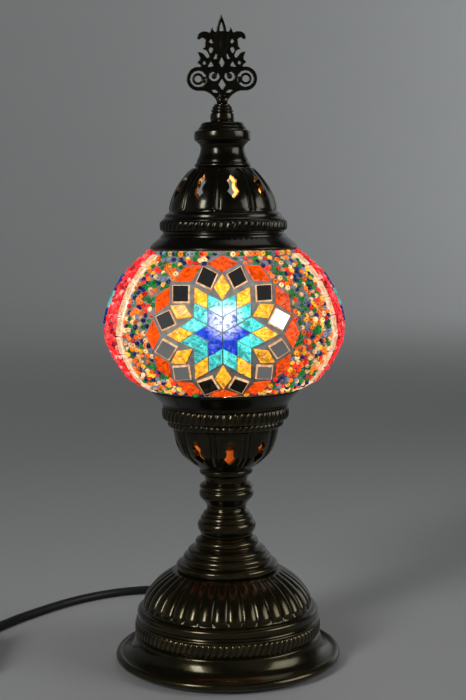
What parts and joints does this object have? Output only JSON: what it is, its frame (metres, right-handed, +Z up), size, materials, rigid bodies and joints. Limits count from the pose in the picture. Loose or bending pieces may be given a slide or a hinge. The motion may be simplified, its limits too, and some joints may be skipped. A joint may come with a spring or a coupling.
{
  "type": "mosaic glass table lamp",
  "caption": "Table lamp with a mosaic glass globe between a cast cup and a lift-off cap, on a turned stem and domed base, with a mains lead, in-line switch and plug.",
  "frame": {"origin": "on the surface the lamp stands on, under the middle of the base", "axes": "+Z up the stem, -Y towards the front medallion, +X to the viewer's right"},
  "size_m": [0.2842, 0.2367, 0.3394],
  "materials": {
    "bronze": "dark antique bronze lacquer, rubbed to brown gold on the edges",
    "steel": "zinc plated",
    "brass": "plain brass contacts and pins",
    "globe_glass": "clear blown glass",
    "star_tiles": "cut cobalt and teal glass tiles in grey grout",
    "border_tiles": "cut amber and orange glass tiles and mirror squares in grey grout",
    "cream_tiles": "cream glass tiles in grey grout",
    "mixed_beads": "mixed glass seed beads in grey grout",
    "red_beads": "red glass seed beads in grout",
    "bulb_glass": "thin bulb glass, lit",
    "porcelain": "unglazed white",
    "black_plastic": "moulded black",
    "lead_sheath": "smooth black flexible sheath",
    "felt": "dark felt"
  },
  "bodies": {
    "lamp_body": {"felt_pad": "felt", "base_plate": "steel", "base_dome": "bronze", "base_washer": "steel", "base_nut": "steel", "threaded_rod": "steel", "base_collar": "bronze", "stem_lower_bead": "bronze", "stem_upper_bead": "bronze", "lower_cup": "bronze", "cup_spring_strap": "steel", "cup_washer": "steel", "cup_nut": "steel", "lampholder_cap": "black_plastic", "terminal_screw_1": "brass", "terminal_screw_2": "brass", "lampholder_insert": "porcelain", "lampholder_contact": "brass", "lampholder_shell": "brass", "lampholder_body": "black_plastic", "globe_glass": "globe_glass", "front_star_core": "star_tiles", "front_star_border": "border_tiles", "front_bead_field": "mixed_beads", "front_left_strip": "cream_tiles", "front_right_strip": "cream_tiles", "rear_star_core": "star_tiles", "rear_star_border": "border_tiles", "rear_bead_field": "mixed_beads", "rear_left_strip": "cream_tiles", "rear_right_strip": "cream_tiles", "left_side_tiles": "star_tiles", "left_red_field": "red_beads", "right_side_tiles": "star_tiles", "right_red_field": "red_beads", "cord_bush": "black_plastic", "cord_inner": "lead_sheath", "cord_lead": "lead_sheath", "switch_housing_bottom": "black_plastic", "switch_housing_top": "black_plastic", "cord_link": "lead_sheath", "cord_coil": "lead_sheath", "cord_tie": "black_plastic", "plug_body": "black_plastic", "plug_pin_1": "brass", "plug_pin_2": "brass", "cord_tail": "lead_sheath"},
    "lift_cap": {"top_cap": "bronze", "cap_neck": "bronze", "finial_spindle": "bronze", "finial": "bronze", "cap_stud": "steel", "cap_nut": "steel", "cap_spring_strap": "steel"},
    "bulb_seat": {"bulb_tip_contact": "brass"},
    "bulb": {"bulb_screw_cap": "steel", "bulb_glass": "bulb_glass", "bulb_mount": "bulb_glass"},
    "rocker": {"switch_rocker": "black_plastic"}
  },
  "joints": [
    {"name": "cap_lift", "type": "slide", "parent": "lamp_body", "child": "lift_cap", "axis": [0, 0, 1], "range_m": [0, 0.1]},
    {"name": "bulb_lift", "type": "slide", "parent": "lamp_body", "child": "bulb_seat", "axis": [0, 0, 1], "range_m": [0, 0.0113]},
    {"name": "bulb_spin", "type": "hinge", "parent": "bulb_seat", "child": "bulb", "pos_m": [0, 0, 0.15], "axis": [0, 0, 1], "range_deg": [0, 1440]},
    {"name": "rocker_tilt", "type": "hinge", "parent": "lamp_body", "child": "rocker", "pos_m": [-0.143, -0.012, 0.0108], "axis": [1, 0, 0], "range_deg": [-14, 0]}
  ],
  "couplings": [
    {"joint": "bulb_lift", "follows": "bulb_spin", "m_per_rad": 0.00044882}
  ]
}
